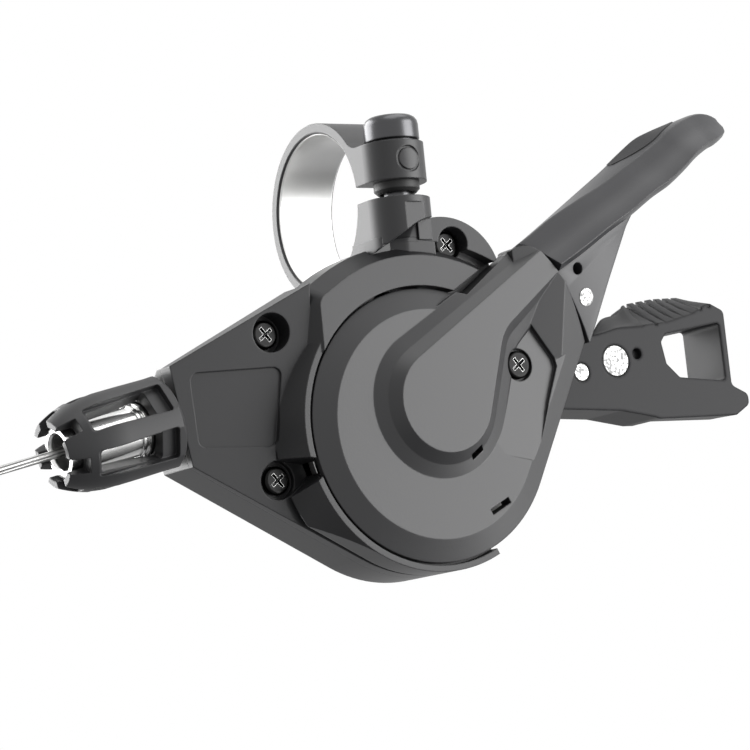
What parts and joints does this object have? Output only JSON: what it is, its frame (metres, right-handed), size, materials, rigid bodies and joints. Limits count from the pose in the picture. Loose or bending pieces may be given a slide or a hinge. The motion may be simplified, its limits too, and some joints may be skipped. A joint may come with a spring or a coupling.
{
  "type": "trigger gear shifter",
  "caption": "Right-hand trigger gear shifter for a mountain bike: handlebar clamp, ribbed cable adjuster, thumb lever, release lever, drum and ratchet, with its inner cable coiled",
  "frame": {"origin": "centre of the handlebar clamp's bore, at the middle of the band's width", "axes": "+X along the handlebar, outboard, away from the cable's exit; +Z along the clamp bolt towards its head; the lever cover faces -Y"},
  "size_m": [0.1589, 0.0332, 0.0796],
  "materials": {
    "band_black": "satin black anodised",
    "black_steel": "gloss black",
    "dark_plastic": "matt",
    "case_black": "fine satin",
    "cover_black": "fine satin",
    "lever_grey": "satin",
    "lever_black": "satin",
    "steel": "brushed",
    "brass": "plain",
    "drum_black": "matt",
    "spring_steel": "drawn",
    "tube_grey": "satin dark grey anodised",
    "cable_steel": "stranded"
  },
  "bodies": {
    "housing": {"clamp_band": "band_black", "clamp_bolt": "black_steel", "bolt_retainer": "dark_plastic", "bracket_screw": "black_steel", "front_case": "case_black", "rear_case": "case_black", "case_screws": "black_steel", "cable_port_plug": "dark_plastic", "base_plate": "steel", "main_axle": "steel", "axle_nut": "steel", "lever_bush": "brass", "release_pivot": "steel", "holding_pawl_pin": "steel", "drum_spring": "spring_steel", "lever_spring": "spring_steel", "release_spring": "spring_steel", "adjuster_insert": "brass", "shift_cable": "cable_steel", "cable_coil": "cable_steel", "cable_tie": "dark_plastic"},
    "main_lever": {"lever_cover": "cover_black", "cover_screw": "black_steel", "main_lever": "lever_grey", "main_lever_arm": "steel", "main_lever_rivet": "steel", "drive_pawl_pin": "steel"},
    "release_lever": {"release_lever": "lever_black", "release_lever_arm": "steel", "release_rivets": "steel"},
    "drum": {"cable_drum": "drum_black", "cable_nipple": "steel", "ratchet_wheel": "steel"},
    "holding_pawl": {"holding_pawl": "steel"},
    "drive_pawl": {"drive_pawl": "steel"},
    "adjuster_bolt": {"adjuster_bolt": "tube_grey"},
    "adjuster_knob": {"adjuster_knob": "lever_black"}
  },
  "joints": [
    {"name": "main_lever_turn", "type": "hinge", "parent": "housing", "child": "main_lever", "pos_m": [0.0015, -0.013, -0.0338], "axis": [0, 1, 0], "range_deg": [0, 32], "stiffness_Nm_per_rad": 0.25, "springref_deg": -22.92},
    {"name": "release_lever_turn", "type": "hinge", "parent": "housing", "child": "release_lever", "pos_m": [0.0156, -0.009, -0.0394], "axis": [0, 1, 0], "range_deg": [-9, 9], "stiffness_Nm_per_rad": 0.4},
    {"name": "drum_turn", "type": "hinge", "parent": "housing", "child": "drum", "pos_m": [0.0015, -0.007, -0.0338], "axis": [0, 1, 0], "range_deg": [0, 190]},
    {"name": "holding_pawl_turn", "type": "hinge", "parent": "housing", "child": "holding_pawl", "pos_m": [-0.0119, -0.009, -0.0384], "axis": [0, 1, 0], "range_deg": [-10, 0], "stiffness_Nm_per_rad": 0.02, "springref_deg": 22.92},
    {"name": "drive_pawl_turn", "type": "hinge", "parent": "main_lever", "child": "drive_pawl", "pos_m": [-0.00861, -0.009, -0.0247], "axis": [0, 1, 0], "range_deg": [-10, 0], "stiffness_Nm_per_rad": 0.02, "springref_deg": 22.92},
    {"name": "adjuster_bolt_slide", "type": "slide", "parent": "housing", "child": "adjuster_bolt", "axis": [-0.9744, 0, -0.225], "range_m": [0, 0.0027]},
    {"name": "adjuster_knob_turn", "type": "hinge", "parent": "adjuster_bolt", "child": "adjuster_knob", "pos_m": [-0.03561, -0.0059, -0.03087], "axis": [-0.9744, 0, -0.225], "range_deg": [0, 1080.2]}
  ],
  "couplings": [
    {"joint": "adjuster_knob_turn", "follows": "adjuster_bolt_slide", "rad_per_m": 6981.3}
  ]
}
